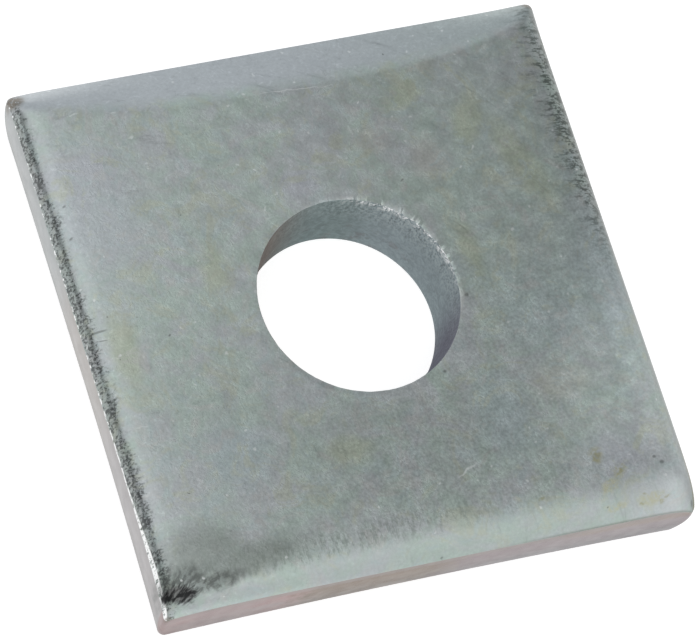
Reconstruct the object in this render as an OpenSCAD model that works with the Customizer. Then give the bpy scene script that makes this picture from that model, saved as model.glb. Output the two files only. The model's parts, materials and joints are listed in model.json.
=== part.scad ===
// Square plate washer, blanked and punched from thick steel plate.
// The upper face went into the die first: its edges are rolled over, and the bolt hole breaks out there.
// Millimetres, +Z up, origin at the centre of the lower face.

/* [Plate] */
// Length of each side, across the upright sheared bands
plate_side = 40; // [32:0.5:60]
// Thickness of the plate
plate_thick = 6; // [5:0.1:10]

/* [Corners] */
// Radius of the front left corner, seen from above
front_left_radius = 0.4; // [0.2:0.1:3]
// Radius of the front right corner
front_right_radius = 0.8; // [0.2:0.1:3]
// Radius of the back right corner
back_right_radius = 0.7; // [0.2:0.1:3]
// Radius of the back left corner
back_left_radius = 0.6; // [0.2:0.1:3]

/* [Rolled upper edge] */
// How far the roll reaches in from the left and right sides
side_roll_width = 2.7; // [2:0.1:5]
// How far the roll reaches in from the front and back sides
end_roll_width = 3.6; // [2:0.1:5]
// How far the upper face has dropped where a roll meets the side
roll_drop = 1.45; // [0.5:0.05:1.8]
// How far the corner roll reaches in from a sharp corner, along the diagonal
corner_roll_width = 6.5; // [4:0.1:8]
// How far the upper face has dropped at the tip of a sharp corner
corner_drop = 2.2; // [1.9:0.05:3]

/* [Sheared side] */
// Height of the smooth, upright sheared band below the roll
shear_band = 1.6; // [0.4:0.1:2]
// How far the broken face below that band leans in, at the lower face
break_inset = 0.6; // [0.1:0.05:1]
// Chamfer on the lower edge, where the burr was tumbled off
burr_chamfer = 0.15; // [0.05:0.05:0.4]

/* [Bolt hole] */
// Diameter of the smooth punched wall
hole_d = 14; // [8:0.1:20]
// Height of the smooth punched wall
hole_land = 3.25; // [1:0.05:3.5]
// How far the hole widens on each side, from the smooth wall to the upper face
breakout_flare = 0.35; // [0.1:0.05:0.8]
// Radius of the rim at the lower face, where the punch went in
entry_radius = 0.15; // [0.1:0.05:1]

/* [Hidden] */
$fn = 180;

// How far the cutting shapes run past the faces that they cut
cut_past = 1;

half_side = plate_side / 2;
break_top = plate_thick - roll_drop - shear_band;
corner_reach = half_side * sqrt(2);
hole_r = hole_d / 2;
land_top = entry_radius + hole_land;

// Radius of an arc that leaves a flat face smoothly and drops by drop over width
function roll_radius(width, drop) = (width * width + drop * drop) / (2 * drop);

// Line of the side from the lower edge to the upper face, where the sheared band lies at distance reach
function side_line(reach) = [
    [max(reach - break_inset - burr_chamfer, 0), 0],
    [max(reach - break_inset * (1 - burr_chamfer / break_top), 0), burr_chamfer],
    [reach, break_top],
    [reach, plate_thick]
];

function mirrored(line) = [for (i = [len(line) - 1 : -1 : 0]) [-line[i][0], line[i][1]]];

// What a roll takes off the upper face: all that lies above an arc that starts at distance start
module roll_waste(start, width, drop) {
    r = roll_radius(width, drop);
    translate([start, plate_thick - r])
        difference() {
            square([width + 2 * cut_past, r + cut_past]);
            circle(r);
        }
}

// Plate of endless length between two opposite sides: broken face, sheared band and rolled edge on each
module sheared_bar(roll_width) {
    side = side_line(half_side);
    rotate([90, 0, 0])
        linear_extrude(height = plate_side + 2 * cut_past, center = true)
            difference() {
                polygon(concat(side, mirrored(side)));
                for (turned = [0, 1])
                    mirror([turned, 0])
                        roll_waste(half_side - roll_width, roll_width, roll_drop);
            }
}

// What rounding takes off the corner at +X +Y: all outside a round post that leans in as the sides do
module corner_waste(r) {
    far = r * sqrt(2) + cut_past;
    translate([half_side - r, half_side - r])
        rotate_extrude(angle = 90)
            polygon(concat(side_line(r), [[far, plate_thick], [far, 0]]));
}

// Round cap that draws the upper face down further at the corners
module corner_cap() {
    rotate_extrude()
        difference() {
            square([corner_reach + cut_past, plate_thick]);
            roll_waste(corner_reach - corner_roll_width, corner_roll_width, corner_drop);
        }
}

// The hole's space: entry rim at the lower face, smooth wall, then the flare of the breakout
module bolt_hole() {
    flare_height = plate_thick - land_top;
    flare_past = breakout_flare * cut_past / flare_height;
    translate([0, 0, -cut_past])
        cylinder(h = land_top + cut_past, r = hole_r);
    translate([0, 0, land_top])
        cylinder(h = flare_height + cut_past, r1 = hole_r, r2 = hole_r + breakout_flare + flare_past);
    rotate_extrude()
        difference() {
            translate([0, -cut_past])
                square([hole_r + entry_radius, entry_radius + cut_past]);
            translate([hole_r + entry_radius, entry_radius])
                circle(entry_radius);
        }
}

module plate_washer() {
    // Corner radii in the order that a quarter turn meets them
    radii = [back_right_radius, back_left_radius, front_left_radius, front_right_radius];
    color([0.56, 0.60, 0.58])
        difference() {
            intersection() {
                sheared_bar(side_roll_width);
                rotate([0, 0, 90])
                    sheared_bar(end_roll_width);
                corner_cap();
            }
            for (quarter = [0 : 3])
                rotate([0, 0, 90 * quarter])
                    corner_waste(radii[quarter]);
            bolt_hole();
        }
}

plate_washer();
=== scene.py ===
"""Looks of the square plate washer: a blanked and punched steel plate with bright zinc plating."""
import json
import math

import bmesh
import bpy
from mathutils import Matrix, Vector, noise


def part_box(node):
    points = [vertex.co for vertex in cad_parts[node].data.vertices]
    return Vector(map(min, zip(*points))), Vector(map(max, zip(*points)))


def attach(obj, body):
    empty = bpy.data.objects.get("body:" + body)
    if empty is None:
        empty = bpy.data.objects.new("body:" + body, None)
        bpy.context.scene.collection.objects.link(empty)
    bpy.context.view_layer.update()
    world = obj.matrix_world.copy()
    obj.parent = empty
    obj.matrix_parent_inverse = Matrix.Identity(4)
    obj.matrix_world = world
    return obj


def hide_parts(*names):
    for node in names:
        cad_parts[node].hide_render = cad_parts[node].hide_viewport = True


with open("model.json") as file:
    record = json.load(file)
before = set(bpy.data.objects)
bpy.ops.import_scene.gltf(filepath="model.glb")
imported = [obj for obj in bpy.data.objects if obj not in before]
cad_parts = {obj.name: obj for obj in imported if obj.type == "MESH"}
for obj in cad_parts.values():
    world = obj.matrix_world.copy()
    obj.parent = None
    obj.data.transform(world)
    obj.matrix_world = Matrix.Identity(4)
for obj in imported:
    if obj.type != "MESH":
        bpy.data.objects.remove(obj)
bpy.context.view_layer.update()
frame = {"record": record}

MM = 0.001

# Sizes from the frame
PLATE = "plate_washer"
plate_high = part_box(PLATE)[1]
half_side = plate_high.x
thick = plate_high.z
bolt_hole = next(m for m in frame["record"]["mounts"] if m["name"] == "bolt_hole")
hole_r = bolt_hole["dims"]["r_mm"] * MM
land_half = bolt_hole["dims"]["length_mm"] * MM / 2
land_top = bolt_hole["pos_m"][2] + land_half
entry_radius = bolt_hole["pos_m"][2] - land_half

# Sizes of the edges, as in the part's source
roll_drop = 1.45 * MM
breakout_flare = 0.35 * MM
burr_chamfer = 0.15 * MM

# Radii of the corners at the rolled edge and at the lower edge, anticlockwise from the back right one
corner_radii = [0.6 * MM, 0.4 * MM, 0.3 * MM, 0.5 * MM]
lower_radii = [0.6 * MM, 0.8 * MM, 0.5 * MM, 0.35 * MM]
# How much deeper the roll goes at those corners, and how far that spreads
corner_extra = [-0.35 * MM, 0.3 * MM, 0.85 * MM, 1.25 * MM]
corner_spread = [1.6 * MM, 0.9 * MM, 2.5 * MM, 1.05 * MM]
# How far the front right corner swells half way down, and how far that spreads
corner_bulge = 0.15 * MM
bulge_spread = 2.0 * MM
# Drop of the roll on the right, which is a little shallower
right_drop = 1.3 * MM
# How far the side leans in at the lower edge: at its front or left end, in the middle, at its other end
right_lean = (0.68 * MM, 0.4 * MM, 0.6 * MM)
left_lean = (0.48 * MM, 0.76 * MM, 0.70 * MM)
back_lean = (0.6 * MM, 0.6 * MM, 0.6 * MM)
front_lean = (0.24 * MM, 0.46 * MM, 0.26 * MM)
# How far the hole lies off the middle
hole_shift = Vector((0.04, -0.1)) * MM
# Length over which the rolls on the right, left and front fade into the face
right_fade = 0.55 * MM
left_fade = 0.36 * MM
front_fade = 0.95 * MM
# How much more the front roll reaches in at its right end, and less at its left
front_widening = 0.5
# Part of each drop that fades more slowly
tail_share = 0.26
tail_fade = 3.2 * MM
# Greatest width of the back roll, which is a shallow facet shaped like a lens
back_width = 3.9 * MM
back_narrow = 1.5 * MM
# How much narrower it is at its left end, where it fades into the face
back_taper = 0.6 * MM
# How steeply it falls in the middle, and how much more steeply at its right and left ends
back_steepness = 1.35
back_steeper_right = 0.7
back_steeper_left = 1.5
# How closely its change keeps to the ends
back_end_power = 3
# How sharply the rolls of two sides meet at a corner
roll_blend = 3.0
# How far the face lies below the full thickness, so that its ripples stay within it
face_settling = 0.018 * MM
# Depth and breadth of the ripples in the face
fine_ripple = (0.006 * MM, 2.2 * MM)
broad_ripple = (0.012 * MM, 7 * MM)
# Depth of the roughness on the left roll, and the breadth of its coarse and fine lumps
rough_depth = 0.05 * MM
rough_coarse = 0.9 * MM
rough_fine = 0.4 * MM
# Bearing where the breakout of the hole is torn deepest, and its share of tearing on the far side
torn_bearing = math.radians(38)
torn_least = 0.15
# Depth and breadth of the lumps in the torn breakout
coarse_tear = (0.09 * MM, 0.7 * MM)
fine_tear = (0.07 * MM, 0.3 * MM)
# Share of the tearing at the foot of the breakout, and how fast it grows upwards
torn_foot = 0.1
torn_growth = 1.6

# Points round the plate, on each side and on each corner
SIDE_STEPS = 176
CORNER_STEPS = 14
QUARTER = SIDE_STEPS + CORNER_STEPS
RING = 4 * QUARTER
# Width of the strip along the edges that is laid in close rings
rim_width = 5.0 * MM
# Distance between the two rings at an edge where the finish changes
tight = 0.03 * MM
# Rings up the hole's wall and its flare, over the face, over the strip along the edges and down the sides
WALL_RINGS = 4
FLARE_RINGS = 12
FACE_RINGS = 24
RIM_RINGS = 36
BAND_RINGS = 13
# Rings of the lower face, as shares of the way in from its edge to the hole
under_shares = (0.06, 0.15, 0.3, 0.5, 0.7, 0.85, 0.96)
# How much the rings of the strip crowd towards the edge, and how the lean of a side grows downwards
rim_crowding = 1.5
lean_growth = 1.7
# How much larger the corners of a ring are for each millimetre that it lies further in
corner_softening = 0.35
# How far from the hole's wall and from the outline the edges of the lower face are looked for
near_hole = 0.2 * MM
near_outline = 0.9 * MM
# Greatest bend between two faces that still look like one smooth face
smooth_angle = math.radians(35)


def plate_ring(inset, radii):
    """Points of the plate's outline moved in by inset, from the foot of the right side and anticlockwise."""
    points = []
    half = half_side - inset
    soften = corner_softening * inset
    for quarter, radius in enumerate(radii):
        turn = Matrix.Rotation(quarter * math.pi / 2, 2)
        before = radii[quarter - 1] + soften
        r = radius + soften
        for step in range(SIDE_STEPS):
            along = -half + before + (2 * half - before - r) * step / SIDE_STEPS
            points.append(turn @ Vector((half, along)))
        for step in range(CORNER_STEPS):
            a = math.pi / 2 * step / CORNER_STEPS
            points.append(turn @ Vector((half - r + r * math.cos(a), half - r + r * math.sin(a))))
    return points


def hole_ring(radius):
    """As many points on a circle round the hole, each facing its partner on the plate's outline."""
    points = []
    for i in range(RING):
        a = ((i + CORNER_STEPS / 2) / QUARTER - 0.5) * math.pi / 2
        points.append(hole_shift + Vector((radius * math.cos(a), radius * math.sin(a))))
    return points


def between(a, b, share):
    return [p.lerp(q, share) for p, q in zip(a, b)]


def faded_drop(depth, away, fade):
    """Drop of a roll at a distance from its side: steep at the side, with a slow tail."""
    away = max(away, 0.0)
    return depth * ((1 - tail_share) * math.exp(-away / fade) + tail_share * math.exp(-away / tail_fade))


def side_drops(x, y):
    """Drop of the upper face towards the right, back, left and front side at a place."""
    right = faded_drop(right_drop, half_side - x, right_fade)
    left = faded_drop(roll_drop, half_side + x, left_fade)
    front = faded_drop(roll_drop, half_side + y, front_fade * (1 + front_widening * x / half_side))
    off_right = min(max(x / half_side, 0.0), 1.0) ** back_end_power
    off_left = min(max(-x / half_side, 0.0), 1.0) ** back_end_power
    width = back_narrow + (back_width - back_narrow) * math.sqrt(1 - off_right) - back_taper * off_left
    into = max(1 - (half_side - y) / width, 0.0)
    steepness = back_steepness + back_steeper_right * off_right + back_steeper_left * off_left
    back = roll_drop * min(into, 1.0) ** steepness
    return right, back, left, front


def face_drop(x, y):
    """Drop of the upper face at a place: its rolls, blended, and the corners drawn down further."""
    drop = sum(d ** roll_blend for d in side_drops(x, y)) ** (1 / roll_blend)
    for quarter, (extra, spread) in enumerate(zip(corner_extra, corner_spread)):
        corner = Matrix.Rotation(quarter * math.pi / 2, 2) @ Vector((half_side, half_side))
        drop += extra * math.exp(-(Vector((x, y)) - corner).length / spread)
    return drop


def wobble(x, y, z, breadth, seed):
    """Smooth noise between about -1 and 1, with lumps of about the given breadth."""
    return noise.noise(Vector((x, y, z)) / breadth + Vector((seed * 7.3, seed * 3.1, seed * 5.7)))


def lumps(depth_and_breadth, seed, x, y, z=0.0):
    """Height of smooth lumps of a given depth and breadth at a place."""
    depth, breadth = depth_and_breadth
    return depth * wobble(x, y, z, breadth, seed)


def deselect_all():
    if bpy.context.mode != "OBJECT":
        bpy.ops.object.mode_set(mode="OBJECT")
    bpy.ops.object.select_all(action="DESELECT")


def select_only(obj):
    deselect_all()
    bpy.context.view_layer.objects.active = obj
    obj.select_set(True)


class RingSkin:
    """A skin grown from one ring of points by extruding it, ring by ring, along the plate's section."""

    def __init__(self, name, points, z, part):
        deselect_all()
        bpy.ops.mesh.primitive_circle_add(vertices=RING, radius=hole_r, fill_type="NOTHING")
        self.obj = bpy.context.object
        self.obj.name = name
        self.obj.data.name = name
        bpy.ops.object.mode_set(mode="EDIT")
        bpy.ops.mesh.select_mode(type="EDGE")
        bpy.ops.mesh.select_all(action="SELECT")
        # the circle's points, by bearing, take the places of the ring's points, by bearing
        found = sorted(self.edit().verts, key=lambda v: math.atan2(v.co.y, v.co.x))
        wanted = sorted(range(RING), key=lambda i: math.atan2(points[i].y, points[i].x))
        ring = [0] * RING
        for vert, i in zip(found, wanted):
            ring[i] = vert.index
        self.rings = [ring]
        self.parts = [part]
        self.place(points, [z] * RING)

    def edit(self):
        bm = bmesh.from_edit_mesh(self.obj.data)
        bm.verts.ensure_lookup_table()
        bm.verts.index_update()
        return bm

    def place(self, points, heights):
        bm = self.edit()
        for vert, p, z in zip(self.rings[-1], points, heights):
            bm.verts[vert].co = (p.x, p.y, z)
        bmesh.update_edit_mesh(self.obj.data, loop_triangles=False, destructive=False)

    def extrude(self, points, heights, part):
        """Extrudes the last ring and puts the new one at the given places."""
        bm = self.edit()
        before = len(bm.verts)
        partner = {tuple(bm.verts[v].co): i for i, v in enumerate(self.rings[-1])}
        bpy.ops.mesh.extrude_region_move()
        bm = self.edit()
        ring = [0] * RING
        for vert in bm.verts[before:]:
            ring[partner[tuple(vert.co)]] = vert.index
        self.rings.append(ring)
        self.parts.append(part)
        self.place(points, heights)

    def close(self):
        """Joins the last ring to the first."""
        bm = self.edit()
        bpy.ops.mesh.select_all(action="DESELECT")
        for ring in (self.rings[0], self.rings[-1]):
            for a, b in zip(ring, ring[1:] + ring[:1]):
                bm.edges.get((bm.verts[a], bm.verts[b])).select = True
        bmesh.update_edit_mesh(self.obj.data)
        bpy.ops.mesh.bridge_edge_loops()
        bpy.ops.object.mode_set(mode="OBJECT")

    def verts_of(self, *parts):
        return [v for ring, part in zip(self.rings, self.parts) if part in parts for v in ring]


def lean_at(leans, along):
    """Lean of a side at a place along it, from -1 at its first end to 1 at its other."""
    first, middle, last = leans
    end = first if along < 0 else last
    return middle + (end - middle) * along * along


def lower_ring(outline):
    """The lower edge, drawn in from the outline by the lean of the sides."""
    points = []
    for p in outline:
        x, y = p / half_side
        lean_x = lean_at(right_lean if x > 0 else left_lean, y)
        lean_y = lean_at(back_lean if y > 0 else front_lean, x)
        points.append(Vector((p.x - lean_x * x, p.y - lean_y * y)))
    return points


def swell_corner(points, down):
    """Lets the front right corner swell half way down the side."""
    corner = Vector((half_side, -half_side))
    swell = corner_bulge * 4 * down * (1 - down)
    outward = corner.normalized() * swell
    return [p + outward * math.exp(-(p - corner).length / bulge_spread) for p in points]


def grow_plate():
    """The plate's skin, grown from the hole's lower rim up the wall, over the face and down the sides."""
    wall = hole_ring(hole_r)
    rim = hole_ring(hole_r + breakout_flare)
    rim_edge = hole_ring(hole_r + breakout_flare + tight)
    inner = plate_ring(rim_width, corner_radii)
    outline = plate_ring(0.0, corner_radii)
    low = lower_ring(plate_ring(0.0, lower_radii))
    skin = RingSkin("plate", wall, 0.0, "wall")
    for step in range(1, WALL_RINGS + 1):
        skin.extrude(wall, [land_top * step / WALL_RINGS] * RING, "wall")
    for step in range(1, FLARE_RINGS + 1):
        z = land_top + (thick - tight - land_top) * step / FLARE_RINGS
        skin.extrude(between(wall, rim, step / FLARE_RINGS), [z] * RING, "flare")
    for step in range(FACE_RINGS + 1):
        skin.extrude(between(rim_edge, inner, step / FACE_RINGS), [thick] * RING, "face")
    for step in range(1, RIM_RINGS + 1):
        points = plate_ring(rim_width * (1 - step / RIM_RINGS) ** rim_crowding, corner_radii)
        skin.extrude(points, [thick] * RING, "face" if step < RIM_RINGS else "foot")
    foot = [thick - face_drop(p.x, p.y) - tight for p in outline]
    for step in range(BAND_RINGS + 1):
        down = step / BAND_RINGS
        points = swell_corner(between(outline, low, down ** lean_growth), down)
        skin.extrude(points, [z * (1 - down) for z in foot], "band")
    for share in under_shares:
        skin.extrude(between(low, wall, share), [0.0] * RING, "under")
    skin.close()
    return skin


def settle_face(skin, marks):
    """Lets the upper face down into its rolls, with the ripple of plate that was blanked and tumbled."""
    verts = skin.obj.data.vertices
    for i in skin.verts_of("face", "foot"):
        x, y, _ = verts[i].co
        drop = face_drop(x, y)
        depths = (right_drop, roll_drop, roll_drop, roll_drop)
        shares = [d / depth for d, depth in zip(side_drops(x, y), depths)]
        ripple = lumps(fine_ripple, 4, x, y) + lumps(broad_ripple, 5, x, y)
        rough = rough_depth * (wobble(x, y, 0, rough_coarse, 1) + wobble(x, y, 0, rough_fine, 2))
        verts[i].co.z = thick - drop + ripple + shares[2] * rough - face_settling
        for name, share in zip(("right_roll", "back_roll", "left_roll", "front_roll"), shares):
            marks[name][i] = share
    # the side starts just below the foot of the roll
    foot = skin.parts.index("foot")
    for upper, lower in zip(skin.rings[foot], skin.rings[foot + 1]):
        verts[lower].co.z = verts[upper].co.z - tight


def tear_hole(skin, marks):
    """Roughens the breakout of the hole, which is torn deepest towards the back right."""
    verts = skin.obj.data.vertices
    for i in skin.verts_of("flare"):
        x, y, z = verts[i].co
        r = math.hypot(x, y)
        facing = max(math.cos(math.atan2(y, x) - torn_bearing), 0.0)
        tear = torn_least + (1 - torn_least) * facing ** 2
        up = (z - land_top) / (thick - land_top)
        depth = lumps(coarse_tear, 7, x, y, z) + lumps(fine_tear, 8, x, y, z)
        grow = 1 + tear * up * depth / r
        verts[i].co.x *= grow
        verts[i].co.y *= grow
        marks["torn"][i] = tear * min(up * torn_growth + torn_foot, 1.0)


def make_plate():
    skin = grow_plate()
    mesh = skin.obj.data
    names = ("right_roll", "back_roll", "left_roll", "front_roll", "band", "wall", "torn")
    marks = {name: [0.0] * len(mesh.vertices) for name in names}
    tear_hole(skin, marks)
    settle_face(skin, marks)
    for name, parts in {"band": ("band",), "wall": ("wall", "flare")}.items():
        for i in skin.verts_of(*parts):
            marks[name][i] = 1.0
    for name, values in marks.items():
        mesh.attributes.new(name, "FLOAT", "POINT").data.foreach_set("value", values)
    return skin.obj


def on_lower_face(p):
    return abs(p.z) < 0.1 * tight


def on_entry_rim(p):
    return on_lower_face(p) and math.hypot(p.x, p.y) < hole_r + near_hole


def on_lower_edge(p):
    return on_lower_face(p) and max(abs(p.x), abs(p.y)) > half_side - near_outline


def bevel_where(obj, test, width, segments):
    """Bevels the edges of which both ends pass the test."""
    select_only(obj)
    bpy.ops.object.mode_set(mode="EDIT")
    bpy.ops.mesh.select_mode(type="EDGE")
    bpy.ops.mesh.select_all(action="DESELECT")
    bm = bmesh.from_edit_mesh(obj.data)
    for e in bm.edges:
        e.select = all(test(v.co) for v in e.verts)
    bmesh.update_edit_mesh(obj.data)
    bpy.ops.mesh.bevel(offset=width, segments=segments, affect="EDGES", clamp_overlap=True)
    bpy.ops.object.mode_set(mode="OBJECT")


class Nodes:
    """A short way to write a node tree."""

    def __init__(self, tree):
        self.tree = tree
        tree.nodes.clear()

    def add(self, kind, inputs=None, **settings):
        node = self.tree.nodes.new(kind)
        for key, value in settings.items():
            setattr(node, key, value)
        for key, value in (inputs or {}).items():
            self.link(value, node.inputs[key])
        return node

    def link(self, value, socket):
        if isinstance(value, bpy.types.NodeSocket):
            self.tree.links.new(value, socket)
        else:
            socket.default_value = value

    def math(self, operation, a, b=0.0):
        return self.add("ShaderNodeMath", {0: a, 1: b}, operation=operation).outputs[0]

    def times(self, *values):
        product = values[0]
        for value in values[1:]:
            product = self.math("MULTIPLY", product, value)
        return product

    def plus(self, *values):
        total = values[0]
        for value in values[1:]:
            total = self.math("ADD", total, value)
        return total

    def ramp(self, value, low, high, to_low=0.0, to_high=1.0):
        inputs = {0: value, 1: low, 2: high, 3: to_low, 4: to_high}
        return self.add("ShaderNodeMapRange", inputs, interpolation_type="SMOOTHSTEP").outputs[0]

    def mix(self, share, a, b, blend="MIX"):
        node = self.add("ShaderNodeMix", data_type="RGBA", blend_type=blend, clamp_factor=True)
        for socket, value in ((0, share), (6, a), (7, b)):
            self.link(value, node.inputs[socket])
        return node.outputs[2]

    def grey(self, value):
        return self.add("ShaderNodeCombineColor", {0: value, 1: value, 2: value}).outputs[0]

    def noise(self, where, scale, detail=2.0, rough=0.5, distort=0.0):
        inputs = {"Vector": where, "Scale": scale, "Detail": detail}
        inputs.update({"Roughness": rough, "Distortion": distort})
        return self.add("ShaderNodeTexNoise", inputs).outputs[0]

    def stretch(self, where, scale):
        return self.add("ShaderNodeMapping", {"Vector": where, "Scale": scale}).outputs[0]

    def length(self, vector):
        return self.add("ShaderNodeVectorMath", {0: vector}, operation="LENGTH").outputs["Value"]

    def mark(self, name):
        return self.add("ShaderNodeAttribute", attribute_name=name).outputs["Fac"]

    def warp(self, where, scale, amount):
        """The coordinates, pushed about by noise."""
        inputs = {"Vector": where, "Scale": scale, "Detail": 1.0}
        push = self.add("ShaderNodeTexNoise", inputs).outputs["Color"]
        inputs = {0: push, 1: (0.5, 0.5, 0.5)}
        push = self.add("ShaderNodeVectorMath", inputs, operation="SUBTRACT").outputs[0]
        inputs = {0: push, 1: (amount, amount, amount), 2: where}
        return self.add("ShaderNodeVectorMath", inputs, operation="MULTIPLY_ADD").outputs[0]

    def patches(self, where, places):
        """Soft oval patches on the upper face: x, y, half length, half width and turn in degrees of each."""
        total = None
        for x, y, length, width, turn in places:
            node = self.add("ShaderNodeMapping", {"Vector": where}, vector_type="TEXTURE")
            node.inputs["Location"].default_value = (x, y, 0)
            node.inputs["Rotation"].default_value = (0, 0, math.radians(turn))
            node.inputs["Scale"].default_value = (length, width, 1e6)
            patch = self.ramp(self.length(node.outputs[0]), 0.3, 1.0, 1.0, 0.0)
            total = patch if total is None else self.math("MAXIMUM", total, patch)
        return total

    def flecks(self, where, scale, radius, share):
        """Small spots strewn about, in a share of the cells of a net."""
        net = self.add("ShaderNodeTexVoronoi", {"Vector": where, "Scale": scale})
        chance = self.add("ShaderNodeSeparateColor", {0: net.outputs["Color"]}).outputs[0]
        picked = self.math("LESS_THAN", chance, share)
        return self.times(picked, self.ramp(net.outputs["Distance"], radius * 0.4, radius, 1.0, 0.0))


def colour(r, g, b):
    return (r, g, b, 1.0)


# Marks on the upper face, with some painted highlights and patches of painted light and shade: x, y, half
# length and half width in millimetres, and turn in degrees
stains = [(15.65, -19.12, 0.36, 0.14, 5), (17.15, -19.16, 0.28, 0.22, 0), (15.97, -18.51, 0.2, 0.12, 0),
          (17.61, -18.91, 0.45, 0.1, 8), (13.2, -15.35, 0.55, 0.42, 60), (14.6, -16.65, 0.55, 0.22, 40),
          (8.37, -17.45, 0.3, 0.2, 0)]
washes = [(13.7, -19.0, 1.3, 0.35, 5), (13.6, -17.5, 1.1, 0.7, 20), (16.6, -18.9, 1.7, 0.6, 5),
          (13.2, -15.2, 0.9, 0.75, 60), (14.6, -16.6, 1.0, 0.6, 40)]
dark_dots = [(17.4, -16.07, 0.2, 0.16, 0), (17.85, -16.55, 0.26, 0.2, 0), (7.75, -1.6, 0.24, 0.2, 0),
             (4.35, -6.9, 0.2, 0.16, 0), (-18.9, 8.14, 0.24, 0.12, 30), (-18.7, 10.6, 0.22, 0.12, 30),
             (-19.0, 0.95, 0.85, 0.13, 2), (-18.9, 0.25, 0.5, 0.07, -6), (19.66, -19.48, 0.14, 0.3, 0)]
# Bright marks: a scratch and flecks, and painted highlights on three dents at the back left and along the
# crease of the back roll
scratches_flecks_and_highlights = [(3.6, -14.4, 1.2, 0.13, 28), (-2.2, 18.0, 0.2, 0.1, 80), (-8.06, 18.66, 0.2, 0.1, 0),
                (11.76, 9.3, 0.25, 0.12, 50), (-4.7, 7.6, 0.25, 0.1, 60), (0.1, 16.1, 4.3, 0.06, -4),
                (-16.07, 17.23, 0.5, 0.14, 10), (-13.27, 16.86, 0.35, 0.12, 0), (-12.55, 14.75, 0.3, 0.2, 20)]
black_patches = [(-18.9, -18.75, 1.9, 0.95, -12)]
smoky_patches = [(-18.4, -18.1, 2.7, 1.7, 0), (-16.2, -18.5, 3.0, 0.9, 3)]
dusky_patches = [(-16.6, -16.4, 4.4, 3.0, 0), (-13.5, -17.5, 6.5, 1.7, 7)]
brown_patches = [(-19.6, 19.5, 0.95, 0.85, 0), (-19.85, -20.0, 0.45, 0.3, 0), (19.75, 19.75, 0.55, 0.5, 0)]
violet_patches = [(-16.5, 10.0, 5.0, 8.0, 0), (-1.6, 9.0, 2.5, 1.5, 0), (14.5, -15.5, 4.0, 3.0, 0)]
blue_patches = [(13.0, -3.5, 5.0, 5.0, 0), (7.5, -11.0, 3.0, 5.0, 0), (-12.0, -10.0, 3.5, 3.5, 0),
                (18.0, -2.0, 3.5, 9.0, 0)]
green_patches = [(13.0, 6.0, 7.5, 15.0, 0)]
olive_patches = [(8.4, 14.6, 3.9, 1.5, 37), (15.0, 7.5, 1.6, 5.5, 20), (-9.6, 3.7, 1.6, 2.6, 0),
                 (-17.6, -0.8, 1.5, 4.0, 0), (-4.2, -11.2, 2.5, 1.5, 0), (9.0, 1.6, 1.2, 3.5, 0),
                 (12.0, 11.5, 1.6, 3.0, -25)]
tan_patches = [(4.5, 11.3, 2.0, 1.6, 0), (8.3, 9.0, 2.0, 2.5, 0), (12.4, -9.2, 3.0, 2.0, 0)]
# Painted light and shade: the front of the right side and the left of the face lighter, the back of the right
# side, the middle front and the front roll's right end darker
painted_light_patches = [(20.0, -12.0, 11.5, 13.0, 0)]
painted_pale_patches = [(-9.0, 8.0, 16.0, 17.0, 0)]
painted_dim_patches = [(19.5, 9.0, 4.0, 14.0, 0), (0.0, -12.0, 12.0, 7.0, 0)]
shady_patches = [(16.0, -17.4, 5.5, 3.2, 0)]
# Patches of colour in the clear coat: their places, strength and colour
coat_patches = [(violet_patches, 0.6, (0.404, 0.424, 0.464)), (blue_patches, 0.6, (0.366, 0.436, 0.452)),
                (green_patches, 0.6, (0.370, 0.446, 0.418)), (tan_patches, 0.6, (0.428, 0.430, 0.408)),
                (olive_patches, 0.75, (0.390, 0.438, 0.350))]
# Painted light and shade: lighter and darker patches of the face, their places, and how much they change the
# tone
painted_light_and_shade_patches = [(painted_light_patches, 0.36), (painted_pale_patches, 0.12), (painted_dim_patches, -0.08), (shady_patches, -0.17)]


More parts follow.
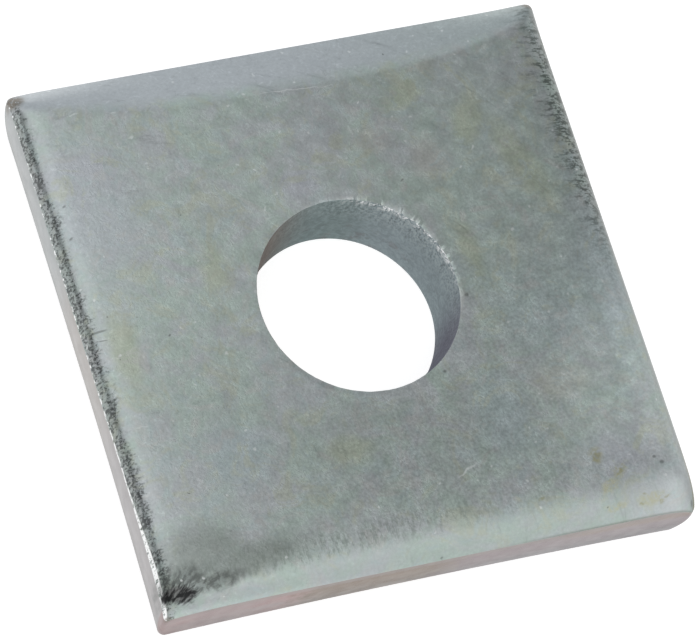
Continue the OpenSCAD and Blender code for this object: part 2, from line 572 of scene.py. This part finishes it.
class Finish(Nodes):
    """The plate's finish: its places in millimetres, its marks, and the noises that the layers share."""

    def __init__(self, tree):
        super().__init__(tree)
        self.mm = self.stretch(self.add("ShaderNodeTexCoord").outputs["Object"], (1000, 1000, 1000))
        self.x, self.y, self.z = self.add("ShaderNodeSeparateXYZ", {0: self.mm}).outputs
        self.right, self.back = self.mark("right_roll"), self.mark("back_roll")
        self.left, self.front = self.mark("left_roll"), self.mark("front_roll")
        self.band, self.wall, self.torn = self.mark("band"), self.mark("wall"), self.mark("torn")
        self.not_band = self.math("SUBTRACT", 1.0, self.band)
        self.warped = self.warp(self.mm, 1.3, 0.7)
        self.frayed = self.warp(self.mm, 2.5, 0.35)
        self.mottle = self.noise(self.mm, 0.8, 4.0, 0.6)
        self.flakes = self.noise(self.mm, 1.9, 4.0, 0.68, 1.2)
        self.grain = self.noise(self.mm, 4.5, 2.0, 0.58)
        self.crumbs = self.noise(self.mm, 3.0, 3.0, 0.72, 0.8)
        self.chips = self.noise(self.stretch(self.mm, (0.9, 1.1, 0.7)), 5.2, 2.0, 0.65)
        self.across_x = self.noise(self.stretch(self.mm, (0.45, 1.6, 1.0)), 2.2, 3.0, 0.65)
        self.across_y = self.noise(self.stretch(self.mm, (2.2, 0.7, 1.0)), 2.0, 3.0, 0.65)
        self.strokes = self.fan((-20.7, -20.2), 7.0, 0.9)
        self.cracks = self.times(self.ridges(self.mm, 2.1), self.ramp(self.mottle, 0.44, 0.62))

    def fan(self, corner, turns, run):
        """Strokes that fan out from a corner."""
        x = self.math("SUBTRACT", self.x, corner[0])
        y = self.math("SUBTRACT", self.y, corner[1])
        turn = self.times(self.math("ARCTAN2", y, x), turns)
        away = self.times(self.math("POWER", self.plus(self.times(x, x), self.times(y, y)), 0.5), run)
        place = self.add("ShaderNodeCombineXYZ", {0: turn, 1: away}).outputs[0]
        return self.noise(place, 1.6, 3.0, 0.65, 0.4)

    def ridges(self, where, scale):
        """Thin wandering lines, where a noise passes through its middle."""
        off = self.math("ABSOLUTE", self.math("SUBTRACT", self.noise(where, scale, 2.0, 0.6, 1.0), 0.5))
        return self.ramp(off, 0.0, 0.07, 1.0, 0.0)

    def ragged(self, value, noise, amount):
        """A value with noise added to it, so that a ramp on it has a ragged edge."""
        return self.plus(value, self.times(self.math("SUBTRACT", noise, 0.5), amount))

    def lay(self, tint, share, over):
        return self.mix(share, tint, colour(*over))

    def lay_patches(self, tint, places, share, over):
        return self.lay(tint, self.times(self.patches(self.warped, places), share), over)


def passivation(f):
    """The upper face: clouds of green, violet, blue and straw in the clear coat over mottled zinc, with
    painted light on the back roll.
    """
    clouds = f.noise(f.mm, 0.26, 4.0, 0.68, 0.7)
    clouds_two = f.noise(f.mm, 0.40, 4.0, 0.68, 0.9)
    clouds_three = f.noise(f.stretch(f.mm, (1, 1, 2)), 0.5, 4.0, 0.68, 0.8)
    tint = f.mix(f.ramp(clouds, 0.36, 0.64), colour(0.376, 0.448, 0.416), colour(0.404, 0.434, 0.446))
    for places, strength, over in coat_patches:
        tint = f.lay_patches(tint, places, strength, over)
    tint = f.lay(tint, f.ramp(clouds_two, 0.52, 0.66, 0.0, 0.65), (0.404, 0.434, 0.366))
    tint = f.lay(tint, f.ramp(clouds_two, 0.46, 0.34, 0.0, 0.5), (0.424, 0.430, 0.420))
    tint = f.lay(tint, f.ramp(clouds_three, 0.53, 0.66, 0.0, 0.6), (0.372, 0.442, 0.446))
    tint = f.lay_patches(tint, dusky_patches, 0.85, (0.254, 0.284, 0.268))
    # The back roll: its own bluish grey, partly painted light, lighter at its left end and darker towards the
    # right for how it catches the light
    lens = f.mix(f.ramp(f.x, 0.0, 18.0), colour(0.424, 0.456, 0.476), colour(0.356, 0.402, 0.404))
    tint = f.mix(f.ramp(f.back, 0.02, 0.25), tint, lens)
    return f.mix(1.0, tint, f.grey(mottled_tone(f)), "MULTIPLY")


def mottled_tone(f):
    """How light the face is: grain, coarser towards the front right, with flakes, cracks and painted light
    and shade in patches.
    """
    towards = f.math("SUBTRACT", f.x, f.y)
    coarser = f.times(f.ramp(towards, -8.0, 18.0, 1.0, 2.7), f.ramp(f.front, 0.08, 0.3, 1.0, 0.35))
    flakes = f.plus(f.ramp(f.flakes, 0.54, 0.70, 0.0, 0.17), f.ramp(f.flakes, 0.44, 0.28, 0.0, -0.13))
    tone = f.plus(f.ramp(f.mottle, 0.25, 0.75, 0.96, 1.04),
                  f.times(f.ramp(f.grain, 0.25, 0.75, -0.05, 0.05), coarser),
                  f.times(flakes, f.ramp(towards, -8.0, 16.0, 1.0, 0.4)))
    # painted light and shade, patch by patch
    for places, change in painted_light_and_shade_patches:
        tone = f.plus(tone, f.times(f.patches(f.mm, places), change))
    return f.plus(tone, f.times(f.cracks, -0.06))


def front_side(f):
    """The front side: pink on the left, a straw stretch in the middle, greyer on the right and lower down."""
    clouds = f.noise(f.stretch(f.mm, (1.0, 1.0, 2.5)), 0.16, 2.0, 0.5, 0.3)
    front = f.mix(f.ramp(clouds, 0.40, 0.60), colour(0.298, 0.192, 0.186), colour(0.274, 0.207, 0.206))
    front = f.lay(front, f.ramp(f.x, -3.0, 1.0), (0.222, 0.178, 0.186))
    front = f.lay(front, f.ramp(f.x, 3.0, 15.0), (0.250, 0.214, 0.224))
    along = f.ragged(f.x, f.mottle, 6.0)
    straw = f.times(f.ramp(along, -11.0, -8.5), f.ramp(along, 3.5, -0.5))
    front = f.lay(front, f.times(straw, 0.9), (0.168, 0.127, 0.089))
    straw = f.times(f.ramp(along, 8.5, 12.0), f.ramp(f.z, 2.8, 3.8))
    front = f.lay(front, f.times(straw, 0.5), (0.262, 0.205, 0.148))
    border = f.ramp(f.ragged(f.z, f.crumbs, 1.0), 3.6, 4.2)
    front = f.lay(front, f.times(border, 0.7), (0.250, 0.220, 0.210))
    front = f.mix(1.0, front, f.grey(f.ramp(f.z, 0.0, 3.6, 0.60, 1.0)), "MULTIPLY")
    low_right = f.times(f.ramp(f.x, 0.0, 8.0), f.ramp(f.z, 2.5, 0.5))
    return f.lay(front, f.times(low_right, 0.5), (0.175, 0.172, 0.182))


def other_sides(f):
    """The left side, blue grey at the back and warmer in the middle, and the hidden sides, like it."""
    left = f.mix(f.ramp(f.y, 8.0, 2.0), colour(0.325, 0.342, 0.346), colour(0.350, 0.332, 0.318))
    left = f.lay(left, f.ramp(f.y, -2.0, -9.0), (0.330, 0.316, 0.320))
    return f.mix(1.0, left, f.grey(f.ramp(f.z, 0.0, 3.0, 0.76, 1.0)), "MULTIPLY")


def sheared_sides(f, tint):
    sides = f.mix(f.ramp(f.y, -19.4, -19.1), front_side(f), other_sides(f))
    return f.mix(f.band, tint, sides)


def front_streaks(f, tint):
    """Short dark streaks along the upper border of the front roll."""
    zone = f.times(f.ramp(f.front, 0.07, 0.14), f.ramp(f.front, 0.36, 0.20))
    streaks = f.times(zone, f.ramp(f.across_y, 0.46, 0.64), f.ramp(f.x, 10.0, -6.0, 0.15, 0.5))
    return f.lay(tint, streaks, (0.18, 0.21, 0.19))


def left_edge(f, tint):
    """The left roll: torn and dark, with painted highlights, bright beads just above the side."""
    clumps = f.noise(f.mm, 0.75, 2.0, 0.6)
    reach = f.ragged(f.ragged(f.ragged(f.left, f.across_x, 0.3), clumps, 0.5), f.chips, 0.5)
    reach = f.plus(reach, f.ramp(f.y, 4.0, 14.0, 0.0, -0.10))
    zone = f.times(f.ramp(reach, 0.24, 0.50), f.ramp(f.left, 0.17, 0.28), f.ramp(f.left, 1.0, 0.94))
    tint = f.lay(tint, f.times(zone, f.ramp(f.left, 0.4, 0.7), 0.5), (0.20, 0.205, 0.20))
    dark = f.times(zone, f.ramp(f.plus(f.chips, f.times(clumps, 0.4)), 0.64, 0.80))
    tint = f.lay(tint, f.times(dark, 0.8), (0.06, 0.065, 0.065))
    # Painted highlight: a row of bright beads where the roll bends down to the side
    beads = f.plus(f.noise(f.mm, 2.0, 2.0, 0.6), f.ramp(f.y, 4.0, -12.0, 0.0, 0.16))
    crest_glint = f.plus(f.left, f.ramp(f.y, -10.0, -17.0, 0.0, 0.22))
    crest_glint = f.times(f.ramp(crest_glint, 0.88, 0.95), f.ramp(beads, 0.53, 0.60), f.ramp(f.chips, 0.30, 0.48))
    return f.lay(tint, f.times(crest_glint, f.not_band, 0.9), (0.88, 0.89, 0.89))


def right_edge(f, tint):
    """The right roll: painted shade over its steep part, dark hairs on its back half, and on its front half
    painted light and shade, a lighter strip in from the edge and darker ground nearer it.
    """
    behind = f.ramp(f.y, -4.0, 7.0)
    worn = f.times(behind, f.ramp(f.y, 20.5, 14.5, 0.35, 1.0))
    # Painted shade: the steep part of the roll darkened all along
    painted_dull_shade = f.times(f.ramp(f.right, 0.2, 0.7), f.ramp(behind, 0.0, 1.0, 0.6, 0.66))
    tint = f.lay(tint, painted_dull_shade, (0.15, 0.16, 0.155))
    hairs = f.plus(f.times(f.across_x, 0.7), f.times(f.chips, 0.3))
    shade = f.times(f.ramp(f.right, 0.15, 0.33), worn, f.ramp(hairs, 0.44, 0.56, 0.2, 0.7))
    tint = f.lay(tint, shade, (0.080, 0.100, 0.085))
    reach = f.ragged(f.right, f.across_x, 0.5)
    zone = f.times(f.ramp(reach, 0.12, 0.34), f.ramp(f.right, 0.05, 0.14), worn)
    dark = f.times(zone, f.ramp(hairs, 0.48, 0.57))
    tint = f.lay(tint, f.times(dark, 0.7), (0.06, 0.07, 0.065))
    # Painted light and shade on the front half: a lighter strip in from the edge, darker nearer it
    painted_pale_light = f.times(f.ramp(f.right, 0.08, 0.17), f.ramp(f.right, 0.27, 0.19), 0.21)
    painted_light_level = f.plus(painted_pale_light, f.ramp(f.right, 0.19, 0.33, 0.0, -0.17), f.ramp(f.right, 0.45, 0.65, 0.0, -0.08))
    painted_light_level = f.times(painted_light_level, f.math("SUBTRACT", 1.0, behind), f.ramp(f.y, -19.0, -14.0, 0.15, 1.0))
    painted_light_level = f.plus(1.0, painted_light_level)
    tint = f.mix(1.0, tint, f.grey(painted_light_level), "MULTIPLY")
    line = f.times(f.ramp(f.right, 0.66, 0.84), f.ramp(f.y, -14.0, -17.0))
    return f.lay(tint, f.times(line, 0.8), (0.13, 0.13, 0.08))


def front_foot(f, tint):
    """The thin dark line at the foot of the front roll, on its right half."""
    foot = f.times(f.ramp(f.front, 0.90, 0.98), f.ramp(f.x, 2.0, 12.0), f.not_band)
    return f.lay(tint, f.times(foot, 0.55), (0.18, 0.19, 0.16))


# Worn and chipped edges, with painted shade and highlights on the left and right rolls
def worn_edges_and_painted_light(f, tint):
    for layer in (front_streaks, sheared_sides, left_edge, right_edge, front_foot):
        tint = layer(f, tint)
    return tint


def spots(f, tint):
    """Stains, soot in the front left corner, rust on the tips, pits, bright flecks and a scratch, and painted
    highlights on three dents and along the back roll's crease.
    """
    bare = tint
    blotch = f.ramp(f.flakes, 0.36, 0.58)
    tint = f.lay(tint, f.times(f.patches(f.frayed, washes), blotch, 0.6), (0.42, 0.41, 0.26))
    stain = f.times(f.patches(f.frayed, stains), f.ramp(f.chips, 0.3, 0.5, 0.18, 0.45))
    tint = f.lay(tint, stain, (0.26, 0.25, 0.12))
    smoke = f.times(f.patches(f.warped, smoky_patches), f.ramp(f.strokes, 0.62, 0.40, 0.45, 0.92))
    tint = f.lay(tint, smoke, (0.10, 0.11, 0.105))
    soot = f.mix(f.ramp(f.strokes, 0.42, 0.66), colour(0.014, 0.014, 0.015), colour(0.12, 0.12, 0.12))
    black = f.ramp(f.ragged(f.patches(f.frayed, black_patches), f.strokes, -1.5), 0.10, 1.0)
    tint = f.mix(f.times(black, f.not_band, f.ramp(f.left, 0.97, 0.85), 0.95), tint, soot)
    rust = f.times(f.patches(f.frayed, brown_patches), f.ramp(f.crumbs, 0.30, 0.50))
    rust = f.times(rust, f.ramp(f.ragged(f.z, f.crumbs, 3.0), 3.0, 4.2))
    tint = f.lay(tint, f.times(rust, 0.85), (0.16, 0.14, 0.115))
    pits = f.math("MAXIMUM", f.patches(f.mm, dark_dots), f.flecks(f.warped, 0.55, 0.06, 0.3))
    tint = f.lay(tint, f.times(pits, 0.55), (0.10, 0.105, 0.10))
    # bright flecks and a scratch, with painted highlights on the dents and the crease
    lights = f.math("MAXIMUM", f.patches(f.frayed, scratches_flecks_and_highlights), f.flecks(f.frayed, 0.8, 0.12, 0.6))
    tint = f.lay(tint, f.times(lights, f.not_band, 0.45), (0.74, 0.77, 0.77))
    return f.mix(f.ramp(f.z, 1.5, 2.5), bare, tint)


def hole_tint(f, tint):
    """Wall of the hole: brown on the left, grey green behind, violet on the right, torn at the rim, with
    painted glints on the torn rim and a painted light line round it.
    """
    wall = f.mix(f.ramp(f.x, -5.5, -0.3), colour(0.185, 0.165, 0.150), colour(0.200, 0.248, 0.250))
    wall = f.lay(wall, f.ramp(f.x, 1.0, 5.0), (0.262, 0.310, 0.328))
    wall = f.lay(wall, f.times(f.ramp(f.y, 0.0, -4.5), f.ramp(f.x, 0.5, 3.5)), (0.165, 0.168, 0.205))
    # Greyer in mottled patches towards the foot of the wall
    greyer_low = f.times(f.ramp(f.mottle, 0.52, 0.68), f.ramp(f.z, 3.5, 1.5))
    wall = f.lay(wall, f.times(greyer_low, 0.5), (0.190, 0.185, 0.190))
    wall = f.mix(1.0, wall, f.grey(f.ramp(f.flakes, 0.3, 0.7, 0.84, 1.16)), "MULTIPLY")
    wall = f.lay(wall, f.times(f.torn, f.ramp(f.chips, 0.46, 0.62), 0.5), (0.42, 0.47, 0.47))
    wall = f.lay(wall, f.times(f.torn, f.ramp(f.chips, 0.46, 0.34), 0.5), (0.07, 0.08, 0.08))
    tint = f.mix(f.wall, tint, wall)
    # Painted highlight: white glints on the top of the torn breakout
    glint = f.times(f.ramp(f.torn, 0.5, 0.9), f.ramp(f.z, 5.2, 5.95), f.ramp(f.crumbs, 0.47, 0.58))
    tint = f.lay(tint, f.times(glint, 0.9), (0.95, 0.96, 0.96))
    # Painted highlight: a thin broken light line on the face round the hole's rim
    away = f.length(f.stretch(f.mm, (1, 1, 0)))
    rim = f.times(f.ramp(away, 7.58, 7.40), f.ramp(f.crumbs, 0.52, 0.62), f.math("SUBTRACT", 1.0, f.wall))
    return f.lay(tint, f.times(rim, 0.25), (0.66, 0.68, 0.68))


def zinc_plating():
    """Bright zinc with a thin clear passivation, worn bare and dark at the edges and matt in the hole, with
    painted light, shade and highlights laid into its colour.
    """
    material = bpy.data.materials.new("zinc_plating")
    material.use_nodes = True
    f = Finish(material.node_tree)
    tint = hole_tint(f, spots(f, worn_edges_and_painted_light(f, passivation(f))))
    smooth = f.ramp(f.math("MAXIMUM", f.back, f.times(f.front, 0.7)), 0.05, 0.35, 1.0, 0.35)
    pits = f.noise(f.mm, 1.6, 3.0, 0.6)
    height = f.plus(f.times(pits, 0.5), f.times(f.grain, 0.27), f.times(f.cracks, -0.15))
    height = f.times(height, smooth)
    bump = f.add("ShaderNodeBump", {"Strength": 0.53, "Distance": 0.05 * MM, "Height": height}).outputs[0]
    rough = f.ramp(f.mottle, 0.3, 0.7, 0.29, 0.36)
    inputs = {"Base Color": tint, "Metallic": 1.0, "Roughness": rough, "Normal": bump}
    metal = f.add("ShaderNodeBsdfPrincipled", inputs)
    matt = f.add("ShaderNodeBsdfDiffuse", {"Color": tint, "Normal": bump})
    both = f.add("ShaderNodeMixShader", {0: f.wall, 1: metal.outputs[0], 2: matt.outputs[0]})
    f.add("ShaderNodeOutputMaterial", {"Surface": both.outputs[0]})
    return material


# Side of the floor, and how far it lies below the plate, so that the two faces don't flicker into each other
floor_size = 6.0
floor_gap = 0.02 * MM
# Strength of the floor's own light, which keeps it white right up to the plate
floor_glow = 0.77
# Light from around, each laid over those before it: direction, half angles in degrees of its full part and
# of its outer edge, and colour
room_light = colour(0.95, 0.95, 0.95)
room_patches = [((0.3, 0.9, 0.4), 20, 55, colour(0.77, 0.79, 0.81)),
                ((-0.45, 0.30, 0.84), 8, 32, colour(0.76, 0.76, 0.76)),
                ((0.33, -0.65, 0.68), 20, 50, colour(1.05, 1.05, 1.04)),
                ((0.50, 0.30, 0.81), 5, 30, colour(0.40, 0.40, 0.40)),
                ((-0.95, 0.33, 0.16), 8, 26, colour(0.25, 0.25, 0.25))]


def make_floor():
    deselect_all()
    bpy.ops.mesh.primitive_plane_add(size=floor_size, location=(0, 0, -floor_gap))
    floor = bpy.context.object
    floor.name = "floor"
    material = bpy.data.materials.new("pale_floor")
    material.use_nodes = True
    n = Nodes(material.node_tree)
    shader = n.add("ShaderNodeBsdfPrincipled", {"Base Color": colour(0.45, 0.45, 0.45), "Roughness": 0.8})
    n.link(colour(1.0, 1.0, 1.0), shader.inputs["Emission Color"])
    n.link(floor_glow, shader.inputs["Emission Strength"])
    n.add("ShaderNodeOutputMaterial", {"Surface": shader.outputs[0]})
    floor.data.materials.append(material)


def softbox(name, place, target, size, radiance):
    data = bpy.data.lights.new(name, "AREA")
    data.shape = "RECTANGLE"
    data.size, data.size_y = size
    data.energy = radiance * math.pi * size[0] * size[1]
    lamp = bpy.data.objects.new(name, data)
    lamp.location = place
    lamp.rotation_euler = (Vector(target) - Vector(place)).to_track_quat("-Z", "Y").to_euler()
    lamp.visible_camera = False
    bpy.context.scene.collection.objects.link(lamp)


def make_world():
    """A pale room, dim above the right side and dark low on the left."""
    world = bpy.data.worlds.new("studio")
    bpy.context.scene.world = world
    world.use_nodes = True
    n = Nodes(world.node_tree)
    way = n.add("ShaderNodeTexCoord").outputs["Generated"]

    def lobe(direction, narrow, wide):
        inputs = {0: way, 1: Vector(direction).normalized()}
        facing = n.add("ShaderNodeVectorMath", inputs, operation="DOT_PRODUCT").outputs["Value"]
        return n.ramp(facing, math.cos(math.radians(wide)), math.cos(math.radians(narrow)))

    light = room_light
    for direction, narrow, wide, tone in room_patches:
        light = n.mix(lobe(direction, narrow, wide), light, tone)
    back = n.add("ShaderNodeBackground", {"Color": light, "Strength": 1.0})
    n.add("ShaderNodeOutputWorld", {"Surface": back.outputs[0]})


def make_camera():
    """The photo's camera: from the front left, high, with the picture turned about the line of sight."""
    place = Vector((-0.153197, -0.152785, 0.409227))
    right = Vector((0.925833, -0.292296, 0.239575))
    up = Vector((0.178915, 0.897356, 0.403413))
    back = right.cross(up)
    data = bpy.data.cameras.new("camera")
    data.sensor_width = 36.0
    data.lens = 336.12
    data.clip_start = 0.01
    camera = bpy.data.objects.new("camera", data)
    camera.matrix_world = Matrix.Translation(place) @ Matrix((right, up, back)).transposed().to_4x4()
    bpy.context.scene.collection.objects.link(camera)
    bpy.context.scene.camera = camera


make_camera()
make_floor()
make_world()
softbox("key", (-0.08, 0.0, 0.2), (-0.08, 0.0, 0.0), (0.26, 0.4), 0.3)
bpy.context.scene.view_settings.view_transform = "Standard"

plate = make_plate()
bevel_where(plate, on_entry_rim, entry_radius, 3)
bevel_where(plate, on_lower_edge, burr_chamfer, 2)
plate.data.materials.append(zinc_plating())
select_only(plate)
bpy.ops.object.shade_smooth_by_angle(angle=smooth_angle)
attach(plate, "root")
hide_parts(PLATE)
